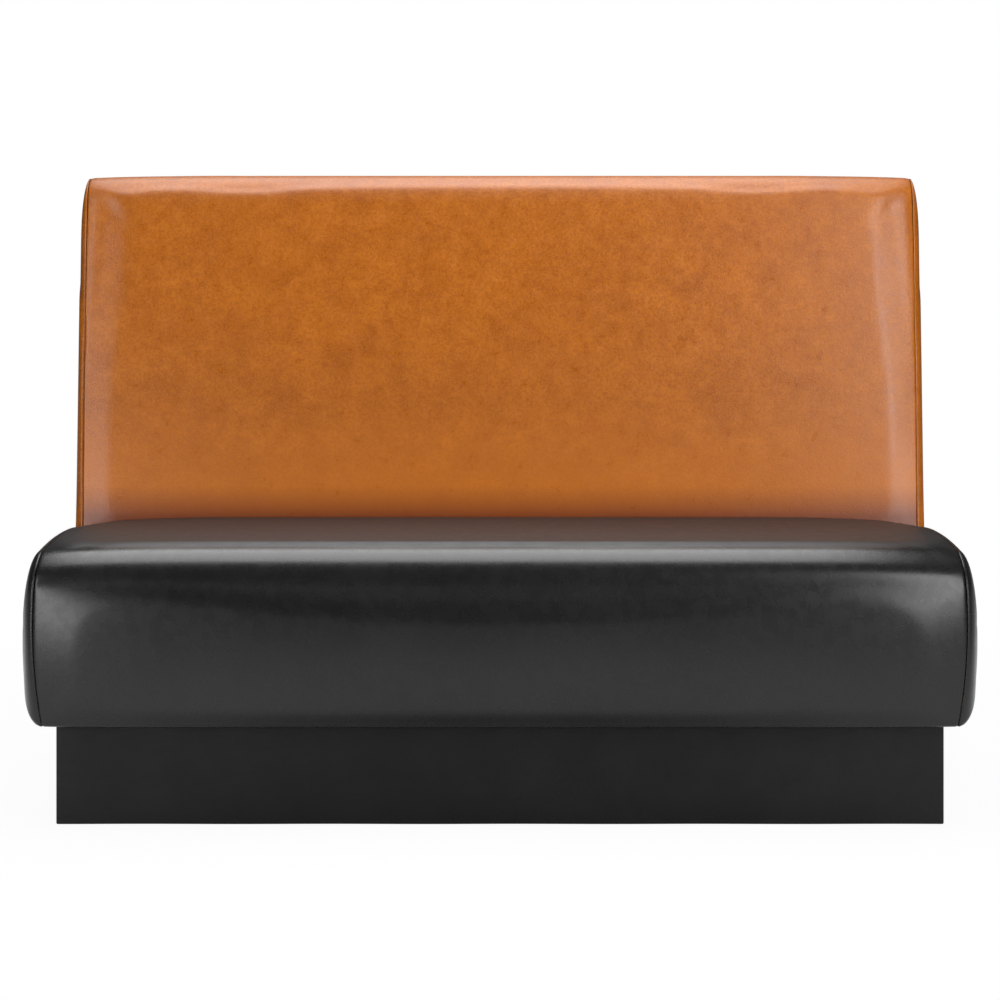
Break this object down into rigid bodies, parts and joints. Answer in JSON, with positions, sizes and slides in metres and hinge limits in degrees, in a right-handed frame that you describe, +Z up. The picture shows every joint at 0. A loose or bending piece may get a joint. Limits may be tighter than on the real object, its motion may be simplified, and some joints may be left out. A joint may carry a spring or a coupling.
{
  "type": "restaurant booth seat",
  "caption": "Freestanding restaurant booth bench with a raked leather back, a boxed vinyl seat and a recessed covered plinth on hidden levelling feet.",
  "frame": {"origin": "on the floor under the middle of the booth, at the bottom centre of its bounding box", "axes": "+X along the bench, to the right as seen from the front; -Y is the front; +Z is up"},
  "size_m": [1.524, 0.635, 1.067],
  "materials": {
    "black_vinyl": "satin",
    "deck_cloth": "matte",
    "dust_cloth": "matte",
    "foam": "matte",
    "hardboard": "matte",
    "hardwood": "matte",
    "nylon": "matte",
    "plinth_vinyl": "matte",
    "plywood": "matte",
    "spring_steel": "satin",
    "tan_leather": "satin",
    "zinc_steel": "satin"
  },
  "bodies": {
    "booth": {"back_dust_cover": "dust_cloth", "back_foam": "foam", "back_foot_rails": "plywood", "back_front_cover": "tan_leather", "back_front_panel": "plywood", "back_inner_left_rib": "plywood", "back_inner_right_rib": "plywood", "back_left_cover": "tan_leather", "back_left_pad": "foam", "back_left_rib": "plywood", "back_lower_rail": "plywood", "back_middle_rails": "plywood", "back_rear_cover": "tan_leather", "back_rear_panel": "hardboard", "back_right_cover": "tan_leather", "back_right_pad": "foam", "back_right_rib": "plywood", "back_top_pad": "foam", "back_top_rail": "plywood", "fixing_plates": "zinc_steel", "foot_nuts": "zinc_steel", "joining_bolts": "zinc_steel", "joining_nuts": "zinc_steel", "joining_washers": "zinc_steel", "plate_screws": "zinc_steel", "plinth_corner_blocks": "hardwood", "plinth_cover": "plinth_vinyl", "plinth_front_board": "plywood", "plinth_left_board": "plywood", "plinth_left_rib": "plywood", "plinth_rear_board": "plywood", "plinth_right_board": "plywood", "plinth_right_rib": "plywood", "seat_deck_cloth": "deck_cloth", "seat_dust_cover": "dust_cloth", "seat_foam": "foam", "seat_front_board": "plywood", "seat_front_pad": "foam", "seat_glue_blocks": "hardwood", "seat_left_board": "plywood", "seat_left_cover": "black_vinyl", "seat_left_cross_rail": "plywood", "seat_left_pad": "foam", "seat_rear_rail": "plywood", "seat_right_board": "plywood", "seat_right_cover": "black_vinyl", "seat_right_cross_rail": "plywood", "seat_right_pad": "foam", "seat_springs": "spring_steel", "seat_top_cover": "black_vinyl", "spring_clips": "spring_steel"},
    "front_left_foot": {"front_left_foot_pad": "nylon", "front_left_foot_stem": "zinc_steel"},
    "front_right_foot": {"front_right_foot_pad": "nylon", "front_right_foot_stem": "zinc_steel"},
    "rear_left_foot": {"rear_left_foot_pad": "nylon", "rear_left_foot_stem": "zinc_steel"},
    "rear_right_foot": {"rear_right_foot_pad": "nylon", "rear_right_foot_stem": "zinc_steel"}
  },
  "joints": [
    {"name": "front_left_levelling", "type": "slide", "parent": "booth", "child": "front_left_foot", "axis": [0, 0, 1], "range_m": [-0.015, 0]},
    {"name": "front_right_levelling", "type": "slide", "parent": "booth", "child": "front_right_foot", "axis": [0, 0, 1], "range_m": [-0.015, 0]},
    {"name": "rear_left_levelling", "type": "slide", "parent": "booth", "child": "rear_left_foot", "axis": [0, 0, 1], "range_m": [-0.015, 0]},
    {"name": "rear_right_levelling", "type": "slide", "parent": "booth", "child": "rear_right_foot", "axis": [0, 0, 1], "range_m": [-0.015, 0]}
  ]
}
